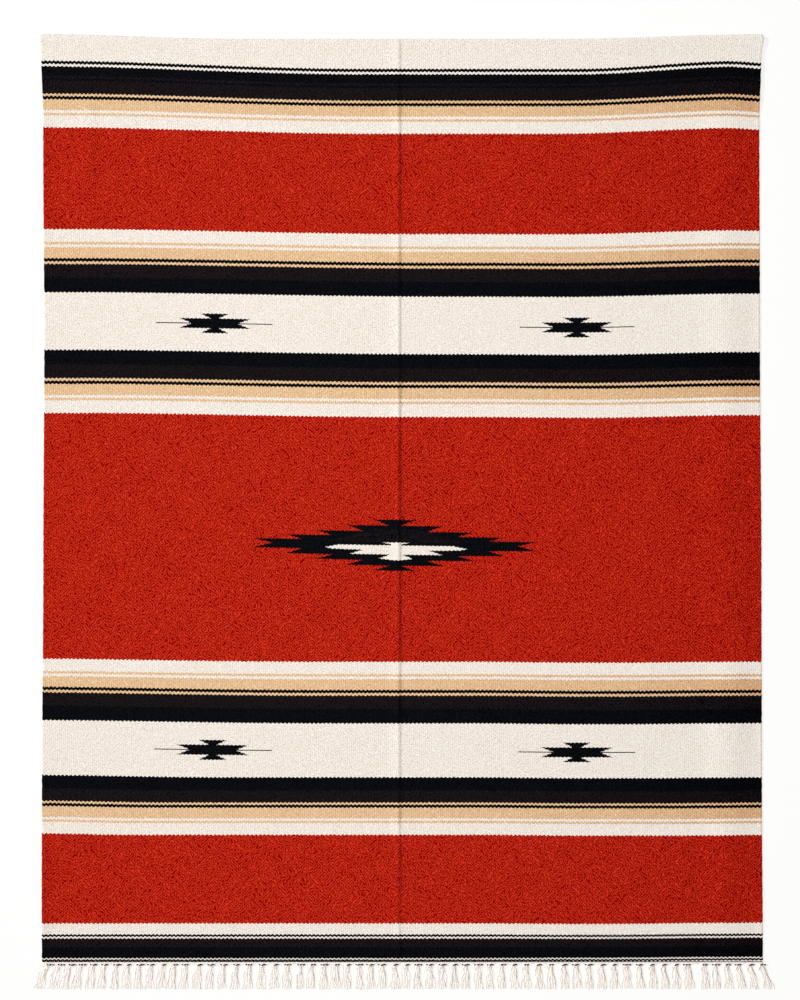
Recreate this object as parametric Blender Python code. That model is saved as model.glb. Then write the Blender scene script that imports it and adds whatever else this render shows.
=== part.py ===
"""A hand-woven striped blanket laid flat, with one end turned under and a knotted fringe at the other.

Seen from above, +X is to the right and +Y points to the folded end. +Z is up. The origin is in the
middle of the blanket's outline, on the surface that it lies on. Every size is in metres.

The cloth is one wall of even thickness. Its face runs from the fringed end over the turned-under end
to a soft fold, round that fold and back underneath. The fringe is a narrow heading with knotted
bundles of warp ends, parted from the cloth by a hair's breadth.
"""

from dataclasses import dataclass
from math import cos, hypot, pi, sin
from random import Random

import bmesh
import bpy
from mathutils import Vector

# Driving dimensions of the cloth
WIDTH = 1.524
SHOWN_LENGTH = 1.957
TURNED_UNDER = 0.115
WALL = 0.003

# The soft fold at the top, and the step down from the turned-under end
LAYER_GAP = 0.0004
FOLD_GAP = 0.003
FOLD_OPENING = 0.040
STEP_DOWN = 0.060
STEP_CLEARANCE = 0.004
UNDER_INSET = 0.003
CORNER_RISE = 0.010
CORNER_RISE_FROM = 0.45
CORNER_ROUND = 0.008
CORNER_FALL_LEFT = 0.002
CORNER_FALL_RIGHT = 0.005

# The storage crease: a long slope up on the left of it, and a short one down on its right
CREASE_AT = -0.0088
CREASE_RISE = 0.026
CREASE_FALL = 0.0085

# How many stretches each part of the cloth has
SIDE_COLUMNS = 8
FACE_ROWS = 11
STEP_ROWS = 4
OVERLAP_ROWS = 3
OPENING_ROWS = 2
FOLD_ROWS = 8
UNDER_ROWS = 3

# Driving dimensions of the fringe
SEAM = 0.0003
HEADING = 0.004
HEADING_HEIGHT = 0.0026
STRANDS = 3
FRINGE_LENGTH = 0.0555
STRAND_SPREAD = 0.0072
FRINGE_SEED = 7


@dataclass(frozen=True)
class Selvedge:
    """How far each selvedge stands outside half the width, at a share of the shown length."""

    along: float
    left: float
    right: float


@dataclass(frozen=True)
class CreaseHeight:
    """How high the storage crease stands, at a share of the shown length."""

    along: float
    height: float


@dataclass(frozen=True)
class BundleMark:
    """Where the knot of one numbered bundle lies; those between two marks are evenly spaced."""

    number: int
    x: float


@dataclass(frozen=True)
class Lean:
    """How far a bundle's tip lies to the right of its knot, at a share of the half width."""

    across: float
    shift: float


@dataclass(frozen=True)
class BundleRing:
    """One four-cornered section of a knot: its distance past the heading, half width and heights."""

    past: float
    half_width: float
    low: float
    high: float


@dataclass(frozen=True)
class StrandRing:
    """One section of a strand: its share of the way to the tip, its sizes and its middle's height."""

    share: float
    half_width: float
    half_height: float
    middle: float


SELVEDGES = (
    Selvedge(along=0.00, left=0.003, right=0.003),
    Selvedge(along=0.18, left=0.003, right=0.001),
    Selvedge(along=0.43, left=0.000, right=0.000),
    Selvedge(along=0.66, left=-0.002, right=-0.003),
    Selvedge(along=0.91, left=0.000, right=-0.0045),
    Selvedge(along=0.98, left=0.004, right=-0.001),
    Selvedge(along=1.00, left=0.0055, right=0.004),
)

CREASE_HEIGHTS = (
    CreaseHeight(along=0.00, height=0.0016),
    CreaseHeight(along=0.15, height=0.0024),
    CreaseHeight(along=0.38, height=0.0027),
    CreaseHeight(along=0.53, height=0.0034),
    CreaseHeight(along=0.72, height=0.0027),
    CreaseHeight(along=0.90, height=0.0030),
    CreaseHeight(along=1.00, height=0.0021),
)

BUNDLE_MARKS = (
    BundleMark(number=0, x=-0.7545),
    BundleMark(number=3, x=-0.6845),
    BundleMark(number=6, x=-0.6092),
    BundleMark(number=12, x=-0.4615),
    BundleMark(number=21, x=-0.2184),
    BundleMark(number=31, x=0.0301),
    BundleMark(number=41, x=0.2857),
    BundleMark(number=50, x=0.5262),
    BundleMark(number=53, x=0.6020),
    BundleMark(number=54, x=0.6370),
    BundleMark(number=59, x=0.7580),
)

LEANS = (
    Lean(across=-1.00, shift=-0.0165),
    Lean(across=-0.93, shift=-0.0090),
    Lean(across=-0.85, shift=-0.0042),
    Lean(across=-0.50, shift=-0.0030),
    Lean(across=-0.30, shift=0.0000),
    Lean(across=0.00, shift=0.0020),
    Lean(across=0.50, shift=0.0045),
    Lean(across=0.86, shift=0.0065),
    Lean(across=0.93, shift=0.0105),
    Lean(across=1.00, shift=0.0225),
)

KNOT = (
    BundleRing(past=0.0000, half_width=0.0040, low=0.0000, high=HEADING_HEIGHT),
    BundleRing(past=0.0030, half_width=0.0066, low=0.0003, high=0.0050),
    BundleRing(past=0.0066, half_width=0.0058, low=0.0006, high=0.0036),
)
STRAND_GAP = 0.0004

STRAND = (
    StrandRing(share=0.30, half_width=0.0019, half_height=0.0014, middle=0.0021),
    StrandRing(share=0.68, half_width=0.0016, half_height=0.0012, middle=0.0017),
    StrandRing(share=1.00, half_width=0.0010, half_height=0.0008, middle=0.0013),
)


def smooth_step(share):
    """0 below 0, 1 above 1, and a soft S between them."""
    share = min(max(share, 0.0), 1.0)
    return share * share * (3 - 2 * share)


def read_rows(rows, place, column, at):
    """The value of one column at a place, eased between the rows that lie on either side of it."""
    for low, high in zip(rows, rows[1:]):
        if at <= getattr(high, place):
            break
    share = (at - getattr(low, place)) / (getattr(high, place) - getattr(low, place))
    start, end = getattr(low, column), getattr(high, column)
    return start + (end - start) * smooth_step(share)


def steps(start, end, count):
    """The ends of count even stretches from start to end, without start itself."""
    return [start + (end - start) * (i + 1) / count for i in range(count)]


def fabric(name, colour, roughness):
    """A plain cloth material of one colour."""
    material = bpy.data.materials.new(name)
    material.use_nodes = True
    shader = material.node_tree.nodes["Principled BSDF"]
    shader.inputs["Base Color"].default_value = (*colour, 1.0)
    shader.inputs["Roughness"].default_value = roughness
    shader.inputs["Metallic"].default_value = 0.0
    material.diffuse_color = (*colour, 1.0)
    return material


def new_solid(name, mesh_maker, material):
    """One named object from what mesh_maker adds to an empty bmesh."""
    shape = bmesh.new()
    mesh_maker(shape)
    bmesh.ops.recalc_face_normals(shape, faces=shape.faces)
    mesh = bpy.data.meshes.new(name)
    shape.to_mesh(mesh)
    shape.free()
    mesh.shade_smooth()
    mesh.set_sharp_from_angle(angle=pi / 4)
    mesh.materials.append(material)
    solid = bpy.data.objects.new(name, mesh)
    bpy.context.scene.collection.objects.link(solid)
    return solid


def crease_height(x, along):
    """How high the storage crease lifts the cloth at x, at a share of the shown length."""
    off = x - CREASE_AT
    reach = CREASE_RISE if off < 0 else CREASE_FALL
    if abs(off) >= reach:
        return 0.0
    height = read_rows(CREASE_HEIGHTS, "along", "height", along)
    return height * (1 + cos(pi * off / reach)) / 2


def fold_at(x):
    """Where the fold lies at x: it rises towards the corners, and rounds off at each of them."""
    share = abs(x) / (WIDTH / 2)
    rise = CORNER_RISE * smooth_step((share - CORNER_RISE_FROM) / (1 - CORNER_RISE_FROM))
    fall = CORNER_FALL_LEFT if x < 0 else CORNER_FALL_RIGHT
    from_edge = WIDTH / 2 - abs(x)
    return SHOWN_LENGTH + rise - fall * max(0.0, 1 - from_edge / CORNER_ROUND)


def column_places():
    """The x of each lengthwise column, closer together over the crease and at the corners."""
    edge = WIDTH / 2
    left_foot = CREASE_AT - CREASE_RISE
    right_foot = CREASE_AT + CREASE_FALL
    places = [-edge, CORNER_ROUND - edge]
    places += steps(CORNER_ROUND - edge, left_foot, SIDE_COLUMNS)
    places += steps(left_foot, CREASE_AT, 4)
    places += steps(CREASE_AT, right_foot, 3)
    places += steps(right_foot, edge - CORNER_ROUND, SIDE_COLUMNS)
    return places + [edge]


def wall_middle(x):
    """(y, z) of the wall's middle at x, from the fringed end, round the fold, to the turned-under edge."""
    fold = fold_at(x)
    under_edge = fold - TURNED_UNDER
    step_end = under_edge - STEP_CLEARANCE
    step_start = step_end - STEP_DOWN
    crease_at_fold = crease_height(x, 1.0)
    bend = (WALL + FOLD_GAP + crease_at_fold) / 2
    bend_start = fold - WALL / 2 - bend
    opening_start = bend_start - FOLD_OPENING

    rows = [0.0]
    rows += steps(0.0, step_start, FACE_ROWS)
    rows += steps(step_start, step_end, STEP_ROWS)
    rows += steps(step_end, opening_start, OVERLAP_ROWS)
    rows += steps(opening_start, bend_start, OPENING_ROWS)

    line = []
    for y in rows:
        lift = (WALL + LAYER_GAP) * smooth_step((y - step_start) / STEP_DOWN)
        lift += (FOLD_GAP - LAYER_GAP) * smooth_step((y - opening_start) / FOLD_OPENING)
        line.append((y, WALL / 2 + lift + crease_height(x, y / fold)))
    for turn in steps(0.0, pi, FOLD_ROWS):
        line.append((bend_start + bend * sin(turn), WALL / 2 + bend * (1 + cos(turn))))
    line += [(y, WALL / 2) for y in steps(bend_start, under_edge, UNDER_ROWS)]
    return line


def skins(line):
    """The wall's two skins along its middle line: the one that shows, and the one inside the fold."""
    shown, hidden = [], []
    for i, (y, z) in enumerate(line):
        before, after = line[max(i - 1, 0)], line[min(i + 1, len(line) - 1)]
        run, climb = after[0] - before[0], after[1] - before[1]
        half = WALL / 2 / hypot(run, climb)
        shown.append((y - climb * half, z + run * half))
        hidden.append((y + climb * half, z - run * half))
    return shown, hidden


def edge_shift(x, along):
    """How far the selvedges' own line moves the cloth at x."""
    column = "left" if x < 0 else "right"
    return read_rows(SELVEDGES, "along", column, min(max(along, 0.0), 1.0)) * x / (WIDTH / 2)


def cloth_mesh(shape):
    """The woven cloth: both skins as grids, joined along the selvedges and the two ends."""
    grids = ([], [])
    for x in column_places():
        line = wall_middle(x)
        fold = fold_at(x)
        under_from = len(line) - UNDER_ROWS
        for grid, skin in zip(grids, skins(line)):
            column = []
            for i, (y, z) in enumerate(skin):
                inset = UNDER_INSET * smooth_step((i - under_from + 1) / UNDER_ROWS)
                shift = edge_shift(x, y / fold) - inset * x / (WIDTH / 2)
                column.append(shape.verts.new((x + shift, y, z)))
            grid.append(column)
    for grid in grids:
        for left, right in zip(grid, grid[1:]):
            for i in range(len(left) - 1):
                shape.faces.new((left[i], right[i], right[i + 1], left[i + 1]))
    shown, hidden = grids
    for side in (0, -1):
        for i in range(len(shown[side]) - 1):
            shape.faces.new(
                (shown[side][i], shown[side][i + 1], hidden[side][i + 1], hidden[side][i])
            )
    for end in (0, -1):
        for j in range(len(shown) - 1):
            shape.faces.new((shown[j][end], hidden[j][end], hidden[j + 1][end], shown[j + 1][end]))


def four_corners(shape, x, y, half_width, low, high):
    """The corners of an upright section, in turn: lower left, lower right, upper right, upper left."""
    corners = ((-half_width, low), (half_width, low), (half_width, high), (-half_width, high))
    return [shape.verts.new((x + across, y, z)) for across, z in corners]


def join_rings(shape, first, second):
    """A band of faces between two rings with as many corners each."""
    for i in range(len(first)):
        j = (i + 1) % len(first)
        shape.faces.new((first[i], first[j], second[j], second[i]))


def add_strand(shape, root, start, tip):
    """A tapered four-sided strand from the root ring at start to the tip point."""
    ring = root
    for section in STRAND:
        bowed = sin(pi * section.share) * 0.12
        x = start.x + (tip.x - start.x) * (section.share + bowed)
        y = start.y + (tip.y - start.y) * section.share
        low = section.middle - section.half_height
        high = section.middle + section.half_height
        outer = four_corners(shape, x, y, section.half_width, low, high)
        join_rings(shape, ring, outer)
        ring = outer
    shape.faces.new(ring)


def add_bundle(shape, root, x, y, lean, rng):
    """A knot on the heading's edge at x, and the strands that come out of it."""
    ring = root
    belly = KNOT[1]
    outer = four_corners(shape, x, y - belly.past, belly.half_width, belly.low, belly.high)
    join_rings(shape, ring, outer)

    mouth = KNOT[2]
    pitch = (2 * mouth.half_width + STRAND_GAP) / STRANDS
    end_y = y - mouth.past
    strands = []
    for i in range(STRANDS):
        middle = x - mouth.half_width + (pitch - STRAND_GAP) / 2 + i * pitch
        half = (pitch - STRAND_GAP) / 2
        strands.append((middle, four_corners(shape, middle, end_y, half, mouth.low, mouth.high)))
    rings = [ring for _, ring in strands]
    lower = [corner for ring in rings for corner in ring[:2]]
    upper = [corner for ring in reversed(rings) for corner in ring[2:]]
    shape.faces.new((outer[0], *lower, outer[1]))
    shape.faces.new((outer[2], *upper, outer[3]))
    shape.faces.new((outer[1], rings[-1][1], rings[-1][2], outer[2]))
    shape.faces.new((outer[3], rings[0][3], rings[0][0], outer[0]))
    for left, right in zip(rings, rings[1:]):
        shape.faces.new((left[1], right[0], right[3], left[2]))

    bundle_lean = lean + rng.uniform(-0.0015, 0.0015)
    for i, (middle, ring) in enumerate(strands):
        fan = (i - (STRANDS - 1) / 2) * STRAND_SPREAD + rng.uniform(-0.0008, 0.0008)
        tip_y = y - FRINGE_LENGTH + rng.uniform(0.0, 0.0030)
        start = Vector((middle, end_y))
        add_strand(shape, ring, start, Vector((x + bundle_lean + fan, tip_y)))


def bundle_places():
    """The x of each knot."""
    places = [BUNDLE_MARKS[0].x]
    for mark, after in zip(BUNDLE_MARKS, BUNDLE_MARKS[1:]):
        places += steps(mark.x, after.x, after.number - mark.number)
    return places


def fringe_mesh(shape):
    """The narrow heading past the last weft, with a knotted bundle on each of its roots."""
    rng = Random(FRINGE_SEED)
    back_y, front_y = -SEAM, -SEAM - HEADING
    half = WIDTH / 2
    ends = (-half - SELVEDGES[0].left, half + SELVEDGES[0].right)
    middles = bundle_places()
    root = KNOT[0].half_width
    cuts = [ends[0]] + [x + side * root for x in middles for side in (-1, 1)] + [ends[1]]

    slices = []
    for x in cuts:
        corners = ((back_y, 0.0), (front_y, 0.0), (front_y, HEADING_HEIGHT), (back_y, HEADING_HEIGHT))
        slices.append([shape.verts.new((x, y, z)) for y, z in corners])
    shape.faces.new(slices[0])
    shape.faces.new(slices[-1])
    for i, (left, right) in enumerate(zip(slices, slices[1:])):
        for a, b in ((0, 1), (2, 3), (3, 0)):
            shape.faces.new((left[a], left[b], right[b], right[a]))
        if i % 2 == 0:
            shape.faces.new((left[1], left[2], right[2], right[1]))
            continue
        x = middles[i // 2]
        lean = read_rows(LEANS, "across", "shift", x / half)
        add_bundle(shape, (left[1], right[1], right[2], left[2]), x, front_y, lean, rng)


def centre_outline(solids):
    """Moves the solids together, so that the origin is in the middle of their outline."""
    points = [corner.co for solid in solids for corner in solid.data.vertices]
    middle = [(min(p[i] for p in points) + max(p[i] for p in points)) / 2 for i in range(2)]
    for solid in solids:
        solid.location = (-middle[0], -middle[1], 0.0)


def main():
    for leftover in list(bpy.data.objects):
        bpy.data.objects.remove(leftover)
    wool = fabric("red striped wool", (0.46, 0.016, 0.006), 0.92)
    cotton = fabric("undyed cotton warp", (0.86, 0.80, 0.74), 0.88)
    cloth = new_solid("blanket_cloth", cloth_mesh, wool)
    fringe = new_solid("warp_fringe", fringe_mesh, cotton)
    centre_outline((cloth, fringe))


main()
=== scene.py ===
"""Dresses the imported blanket: woven cloth, heading and knotted fringe, with a studio round them.

The blanket lies flat and is seen from straight above, +X to the right and +Y towards its folded end.
Lengths are in metres. The cloth's own plan has x = 0 on its centre line and y = 0 at its fringed end,
and PLAN_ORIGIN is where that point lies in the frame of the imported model.
"""

import logging
from collections.abc import Callable, Mapping, Sequence
from dataclasses import dataclass, field
from enum import Enum
from math import cos, pi, radians, sin
from random import Random

import bpy
import numpy as np
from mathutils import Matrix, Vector


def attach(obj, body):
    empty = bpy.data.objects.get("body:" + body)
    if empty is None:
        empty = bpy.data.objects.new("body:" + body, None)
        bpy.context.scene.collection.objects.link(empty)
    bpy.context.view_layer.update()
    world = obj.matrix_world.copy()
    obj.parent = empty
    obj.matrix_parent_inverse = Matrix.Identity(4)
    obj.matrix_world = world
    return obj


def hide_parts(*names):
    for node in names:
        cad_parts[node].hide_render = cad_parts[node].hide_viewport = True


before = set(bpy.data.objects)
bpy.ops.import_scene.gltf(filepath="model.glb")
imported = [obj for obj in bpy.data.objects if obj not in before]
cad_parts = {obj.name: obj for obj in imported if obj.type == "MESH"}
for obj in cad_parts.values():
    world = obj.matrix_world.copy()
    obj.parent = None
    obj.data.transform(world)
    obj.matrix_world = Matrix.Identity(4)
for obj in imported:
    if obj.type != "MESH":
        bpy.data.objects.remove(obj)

Colour = tuple[float, float, float]
Point = tuple[float, float, float]
Array = np.ndarray
Material = bpy.types.Material
Piece = bpy.types.Object
LOG = logging.getLogger("blanket")

# How bright a white card lies in this studio, so that a finish is stated as it looks there
CARD_BRIGHTNESS = 1.12
PLAN_ORIGIN = (-0.004026, -0.953599)


def smooth_step(share: Array | float) -> Array | float:
    """0 below 0, 1 above 1, and a soft S between them."""
    share = np.clip(share, 0.0, 1.0)
    return share * share * (3 - 2 * share)


def as_lit(red: int, green: int, blue: int) -> Colour:
    """The dye that looks like a screen colour in this studio's light.

    Args:
        red, green, blue: the colour on screen, 0 to 255.

    Returns:
        The linear colour of the surface.
    """
    shares = [channel / 255 for channel in (red, green, blue)]
    linear = [s / 12.92 if s <= 0.04045 else ((s + 0.055) / 1.055) ** 2.4 for s in shares]
    return tuple(value / CARD_BRIGHTNESS for value in linear)


@dataclass(frozen=True)
class Selvedge:
    """How far each selvedge stands outside half the width, at a share of the shown length."""

    along: float
    left: float
    right: float


@dataclass(frozen=True)
class CreaseHeight:
    """How high the storage crease stands, at a share of the shown length."""

    along: float
    height: float


@dataclass(frozen=True)
class BundleMark:
    """Where the knot of one numbered bundle lies; those between two marks are evenly spaced."""

    number: int
    x: float


@dataclass(frozen=True)
class Lean:
    """How far a bundle's tip lies to the right of its knot, at a share of the half width."""

    across: float
    shift: float


@dataclass(frozen=True)
class WeftBow:
    """How far the weft bows towards the fold at each side, and where across it starts to.

    On the left it grows from left_from to left_full, as shares of the half width. On the right it
    sags first, and droops at the selvedge.
    """

    along: float
    left: float
    left_from: float
    left_full: float
    right: float
    right_from: float
    sag: float
    droop: float


@dataclass(frozen=True)
class Pucker:
    """A soft ridge of cloth from one point of the plan to another, highest in its middle."""

    start: tuple[float, float]
    end: tuple[float, float]
    reach: float
    height: float


def read_rows(rows: Sequence, place: str, column: str, at: Array | float) -> Array:
    """One column of a table at any place, eased between the rows that lie on either side of it.

    Args:
        rows: the table, in the order of its places.
        place: the field that says where a row lies.
        column: the field to read.
        at: the places to read it at.

    Returns:
        The column's values there.
    """
    at = np.asarray(at, dtype=float)
    places = [getattr(row, place) for row in rows]
    value = np.full(at.shape, float(getattr(rows[0], column)))
    for i in range(len(rows) - 1):
        rise = getattr(rows[i + 1], column) - getattr(rows[i], column)
        value += rise * smooth_step((at - places[i]) / (places[i + 1] - places[i]))
    return value


def rows_of(kind: type, *rows: tuple) -> tuple:
    """A table of that class, from its rows' fields in order."""
    return tuple(kind(*row) for row in rows)


def stretches(start: float, end: float, count: int) -> list[float]:
    """The ends of count even stretches from start to end, without start itself."""
    return [start + (end - start) * (i + 1) / count for i in range(count)]


def add_object(name: str, data: bpy.types.ID) -> Piece:
    """Puts a new object into the scene.

    Args:
        name: the object's name.
        data: its mesh, light or lens.

    Returns:
        The object.
    """
    thing = bpy.data.objects.new(name, data)
    bpy.context.scene.collection.objects.link(thing)
    return thing


def math_operator(operation: str, reflected: bool = False) -> Callable[..., "Wire"]:
    """The method behind one of Wire's operators.

    Args:
        operation: the Math node's operation.
        reflected: whether self stands on the right.

    Returns:
        The method.
    """

    def operate(self: "Wire", other: "Wire | float") -> "Wire":
        """The output of the operator's Math node."""
        sides = (other, self) if reflected else (self, other)
        return self.maths(operation, *sides)

    return operate


class Wire:
    """One output socket of a node, with arithmetic that adds Math nodes."""

    __add__ = math_operator("ADD")
    __radd__ = math_operator("ADD", reflected=True)
    __sub__ = math_operator("SUBTRACT")
    __rsub__ = math_operator("SUBTRACT", reflected=True)
    __mul__ = math_operator("MULTIPLY")
    __rmul__ = math_operator("MULTIPLY", reflected=True)
    __truediv__ = math_operator("DIVIDE")
    __lt__ = math_operator("LESS_THAN")
    __gt__ = math_operator("GREATER_THAN")

    def __init__(self, bench: "Bench", socket: bpy.types.NodeSocket) -> None:
        """Keeps the bench and the socket."""
        self.bench = bench
        self.socket = socket

    def maths(self, operation: str, *values: "Wire | float") -> "Wire":
        """The output of a Math node on these values."""
        sockets = dict(enumerate(values))
        return self.bench.out("ShaderNodeMath", {"operation": operation}, sockets)

    def __abs__(self) -> "Wire":
        """The size of self without its sign."""
        return self.maths("ABSOLUTE", self)

    def floor(self) -> "Wire":
        """The whole number at or below self."""
        return self.maths("FLOOR", self)

    def fraction(self) -> "Wire":
        """What self is above its floor."""
        return self.maths("FRACT", self)

    def cosine(self) -> "Wire":
        """The cosine of self in radians."""
        return self.maths("COSINE", self)

    def kept(self) -> "Wire":
        """self held between 0 and 1."""
        return self.bench.out("ShaderNodeClamp", {}, {"Value": self})


class Bench:
    """Adds the nodes of one material."""

    def __init__(self, name: str) -> None:
        """Starts an empty node tree.

        Args:
            name: the material's name.
        """
        self.material = bpy.data.materials.new(name)
        self.material.use_nodes = True
        self.tree = self.material.node_tree
        self.tree.nodes.clear()

    def node(
        self, kind: str, settings: Mapping[str, object], sockets: Mapping[str | int, object]
    ) -> bpy.types.Node:
        """Adds one node.

        Args:
            kind: the node's type.
            settings: its settings, set first. "stops" are a ramp's (place, colour) pairs.
            sockets: values or wires for its inputs, by name or number.

        Returns:
            The node.
        """
        node = self.tree.nodes.new(kind)
        for key, value in settings.items():
            if key == "stops":
                self.set_stops(node.color_ramp, value)
            elif key == "interpolation":
                node.color_ramp.interpolation = value
            else:
                setattr(node, key, value)
        for key, value in sockets.items():
            if isinstance(value, Wire):
                self.tree.links.new(value.socket, node.inputs[key])
            else:
                node.inputs[key].default_value = value
        return node

    def set_stops(self, ramp: bpy.types.ColorRamp, stops: Sequence[tuple]) -> None:
        """Sets up a ramp's stops.

        Args:
            ramp: the ramp.
            stops: its (place, four-channel colour) stops.
        """
        while len(ramp.elements) < len(stops):
            ramp.elements.new(1.0)
        for element, (place, colour) in zip(ramp.elements, sorted(stops)):
            element.position = place
            element.color = colour

    def out(
        self,
        kind: str,
        settings: Mapping[str, object],
        sockets: Mapping[str | int, object],
        output: str | int = 0,
    ) -> Wire:
        """Adds one node, as node() does, and gives one of its outputs."""
        return Wire(self, self.node(kind, settings, sockets).outputs[output])

    def split(self, vector: Wire) -> tuple[Wire, Wire, Wire]:
        """The three parts of a vector."""
        node = self.node("ShaderNodeSeparateXYZ", {}, {0: vector})
        return tuple(Wire(self, output) for output in node.outputs)

    def place(self, x: Wire | float, y: Wire | float, z: Wire | float = 0.0) -> Wire:
        """A vector of three values."""
        return self.out("ShaderNodeCombineXYZ", {}, {0: x, 1: y, 2: z})

    def uv_map(self, name: str) -> tuple[Wire, Wire]:
        """The two parts of one of the mesh's maps."""
        u, v, _ = self.split(self.out("ShaderNodeUVMap", {"uv_map": name}, {}))
        return u, v

    def noise(
        self, x: Wire, y: Wire, scale: float, detail: float = 2.0, distortion: float = 0.0
    ) -> Wire:
        """Soft noise about 0.5 on a plane, with blots of about 1 / scale."""
        sockets = {"Vector": self.place(x, y), "Scale": scale, "Detail": detail}
        sockets["Distortion"] = distortion
        return self.out("ShaderNodeTexNoise", {"noise_dimensions": "2D"}, sockets, "Fac")

    def blend(self, share: Wire | float, first: Wire | float, second: Wire | float) -> Wire:
        """A value mixed from first to second."""
        return self.out("ShaderNodeMix", {"data_type": "FLOAT"}, {0: share, 2: first, 3: second})

    def blend_colours(self, share: Wire | float, first: object, second: object) -> Wire:
        """A colour mixed from first to second."""
        settings = {"data_type": "RGBA"}
        return self.out("ShaderNodeMix", settings, {0: share, 6: first, 7: second}, 2)

    def ramp(self, share: Wire, stops: Sequence[tuple], output: str, eased: bool = False) -> Wire:
        """A colour ramp read at share, in steps or in straight slopes."""
        settings = {"stops": stops, "interpolation": "LINEAR" if eased else "CONSTANT"}
        return self.out("ShaderNodeValToRGB", settings, {0: share}, output)

    def matt(self, colour: Wire, roughness: float, specular: float, height: Wire) -> Material:
        """Ends the tree with a matt surface.

        Args:
            colour: its colour.
            roughness: how rough it is.
            specular: how much light it throws off its skin.
            height: its relief in metres.

        Returns:
            The material.
        """
        normal = self.out("ShaderNodeBump", {}, {"Strength": 1.0, "Distance": 1.0, "Height": height})
        sockets = {"Base Color": colour, "Roughness": roughness, "Specular IOR Level": specular}
        return self.finish(self.out("ShaderNodeBsdfPrincipled", {}, sockets | {"Normal": normal}))

    def finish(self, shader: Wire) -> Material:
        """Ends the tree with that shader, and gives the material."""
        self.node("ShaderNodeOutputMaterial", {}, {"Surface": shader})
        return self.material


class Dye(Enum):
    """The yarns of the weft, each with the number that stands for it in the draft's ramps."""

    BLUE_BLACK = 0.0
    BROWN_BLACK = 0.2
    TAN = 0.4
    WHITE = 0.6
    RED = 0.8


@dataclass(frozen=True)
class Yarn:
    """How one dyed yarn looks: its darkest and lightest wool, how far each texture shows, and how
    strongly its warp ribs are painted with shade.
    """

    shade: Colour
    glint: Colour
    squiggle: float
    speck: float
    painted_rib_shade: float


YARNS = {
    Dye.BLUE_BLACK: Yarn(as_lit(0, 1, 3), as_lit(18, 20, 25), 0.3, 0.0, 0.3),
    Dye.BROWN_BLACK: Yarn(as_lit(6, 3, 6), as_lit(36, 29, 31), 0.3, 0.0, 0.5),
    Dye.TAN: Yarn(as_lit(201, 147, 103), as_lit(248, 218, 175), 0.18, 0.18, 0.5),
    Dye.WHITE: Yarn(as_lit(213, 184, 157), as_lit(251, 247, 240), 0.20, 0.84, 0.15),
    Dye.RED: Yarn(as_lit(139, 2, 1), as_lit(212, 51, 28), 1.0, 0.0, 0.15),
}


@dataclass(frozen=True)
class Band:
    """A run of picks of one dye."""

    dye: Dye
    picks: float


@dataclass(frozen=True)
class Zone:
    """Bands that were beaten alike: each pick of them takes up beat metres."""

    beat: float
    bands: tuple[Band, ...]

    def length(self) -> float:
        """How much cloth the zone takes up."""
        return self.beat * sum(band.picks for band in self.bands)

    def dye(self, bench: Bench, weft: Wire, start: float) -> Wire | float:
        """The number of the dye at each place of the zone.

        Args:
            bench: where the nodes are made.
            weft: how far along this float lies.
            start: where the zone starts.

        Returns:
            The one dye's number, or a ramp of them.
        """
        if len(self.bands) == 1:
            return self.bands[0].dye.value
        stops, at = [], 0.0
        for band in self.bands:
            stops.append((at * self.beat / self.length(), (0, 0, 0, band.dye.value)))
            at += band.picks
        return bench.ramp((weft - start) / self.length(), stops, "Alpha")


DYE_LETTERS = {"K": Dye.BLUE_BLACK, "B": Dye.BROWN_BLACK, "T": Dye.TAN, "W": Dye.WHITE, "R": Dye.RED}


def run_of(*counts: float, dyes: str) -> tuple[Band, ...]:
    """Bands from their counts of picks and a letter for each dye, as in DYE_LETTERS."""
    return tuple(Band(DYE_LETTERS[letter], picks) for letter, picks in zip(dyes, counts))


# From a red band towards a white band with motifs
BORDER = run_of(21.4, 4.2, 4.6, 18.4, 5.6, 3.8, 23.2, 24.8, dyes="WTWTKTBK")
BORDER_BACK = BORDER[::-1]
FIRST_BORDER = run_of(21.4, 4.2, 4.6, 19.6, 5.6, 3.8, 22.0, 24.8, dyes="WTWTKTBK")
FOOT = run_of(3.5, 2.1, 19.8, 15.5, 3.0, 4.0, 19.5, dyes="KWKBWKW")
TOP_BORDER = BORDER[:6] + run_of(22.5, 4, 4, 16.7, 4.3, 5.5, dyes="BKBKWK")

DRAFT = (
    Zone(0.001200, FOOT),
    Zone(0.001200, run_of(156.8, dyes="R")),
    Zone(0.001150, FIRST_BORDER),
    Zone(0.001200, run_of(95.3, dyes="W")),
    Zone(0.001232, BORDER_BACK),
    Zone(0.001200, run_of(432.9, dyes="R")),
    Zone(0.001256, BORDER),
    Zone(0.001200, run_of(101.6, dyes="W")),
    Zone(0.001251, BORDER_BACK),
    Zone(0.001200, run_of(177.6, dyes="R")),
    Zone(0.001191, TOP_BORDER),
    Zone(0.001200, run_of(160, dyes="W")),
)


@dataclass(frozen=True)
class Step:
    """One step of a motif: how high it is, and its half width at its top and at its foot."""

    height: float
    top: float
    foot: float


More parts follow.
